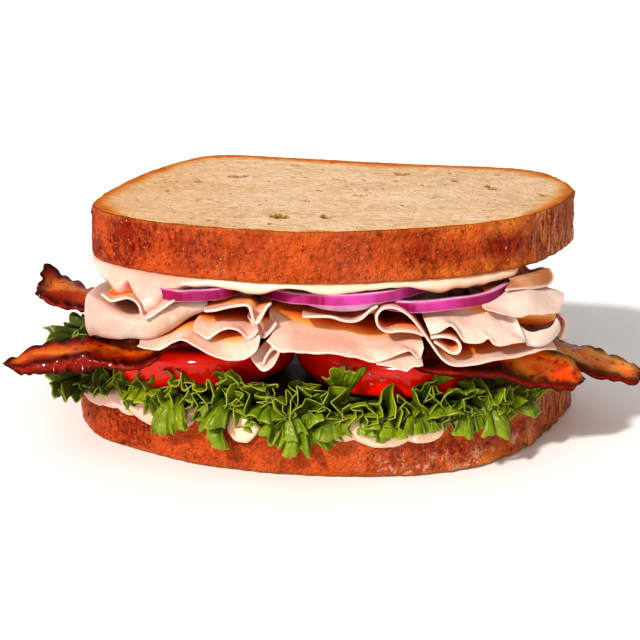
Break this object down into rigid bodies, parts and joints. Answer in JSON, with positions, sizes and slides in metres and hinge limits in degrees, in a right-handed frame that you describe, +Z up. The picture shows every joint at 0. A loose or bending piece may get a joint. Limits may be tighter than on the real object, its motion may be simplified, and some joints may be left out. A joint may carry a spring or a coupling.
{
  "type": "turkey and bacon sandwich",
  "caption": "Sandwich of two thick slices of wholemeal loaf with folded turkey, bacon, tomato, red onion, leaf lettuce and mayonnaise between them.",
  "frame": {"origin": "on the surface it rests on, under the middle of the bottom slice of bread", "axes": "+X to the right along the slices, +Y from the open front to the back, +Z up"},
  "size_m": [0.1835, 0.1222, 0.0689],
  "materials": {
    "crust": "baked wholemeal crust, matt, speckled, with a pale open crumb on the cut faces",
    "mayonnaise": "creamy ivory spread with a soft sheen",
    "lettuce": "green leaf with pale crisp edges and a waxy sheen",
    "tomato": "ripe red skin, glossy and wet, paler cut faces",
    "bacon": "fried streaky bacon, dark red lean and amber fat, oily",
    "turkey": "cooked turkey breast, pale and moist, slightly translucent",
    "red_onion": "magenta skin on white flesh, moist"
  },
  "bodies": {
    "root": {"bread_bottom": "crust", "bread_top": "crust", "mayonnaise_bottom": "mayonnaise", "mayonnaise_top": "mayonnaise", "lettuce_front_left": "lettuce", "lettuce_front_right": "lettuce", "lettuce_back": "lettuce", "tomato_front_left": "tomato", "tomato_front_right": "tomato", "tomato_back_left": "tomato", "tomato_back_right": "tomato", "bacon_front": "bacon", "bacon_back": "bacon", "onion_ring_left": "red_onion", "onion_ring_middle": "red_onion", "onion_ring_right": "red_onion", "turkey_left_drape": "turkey", "turkey_left_roll": "turkey", "turkey_wave": "turkey", "turkey_bridge": "turkey", "turkey_small_roll": "turkey", "turkey_middle_flap": "turkey", "turkey_middle_fold": "turkey", "turkey_s_fold": "turkey", "turkey_right_flap": "turkey", "turkey_right_sheet": "turkey", "turkey_right_fold": "turkey"}
  },
  "joints": []
}
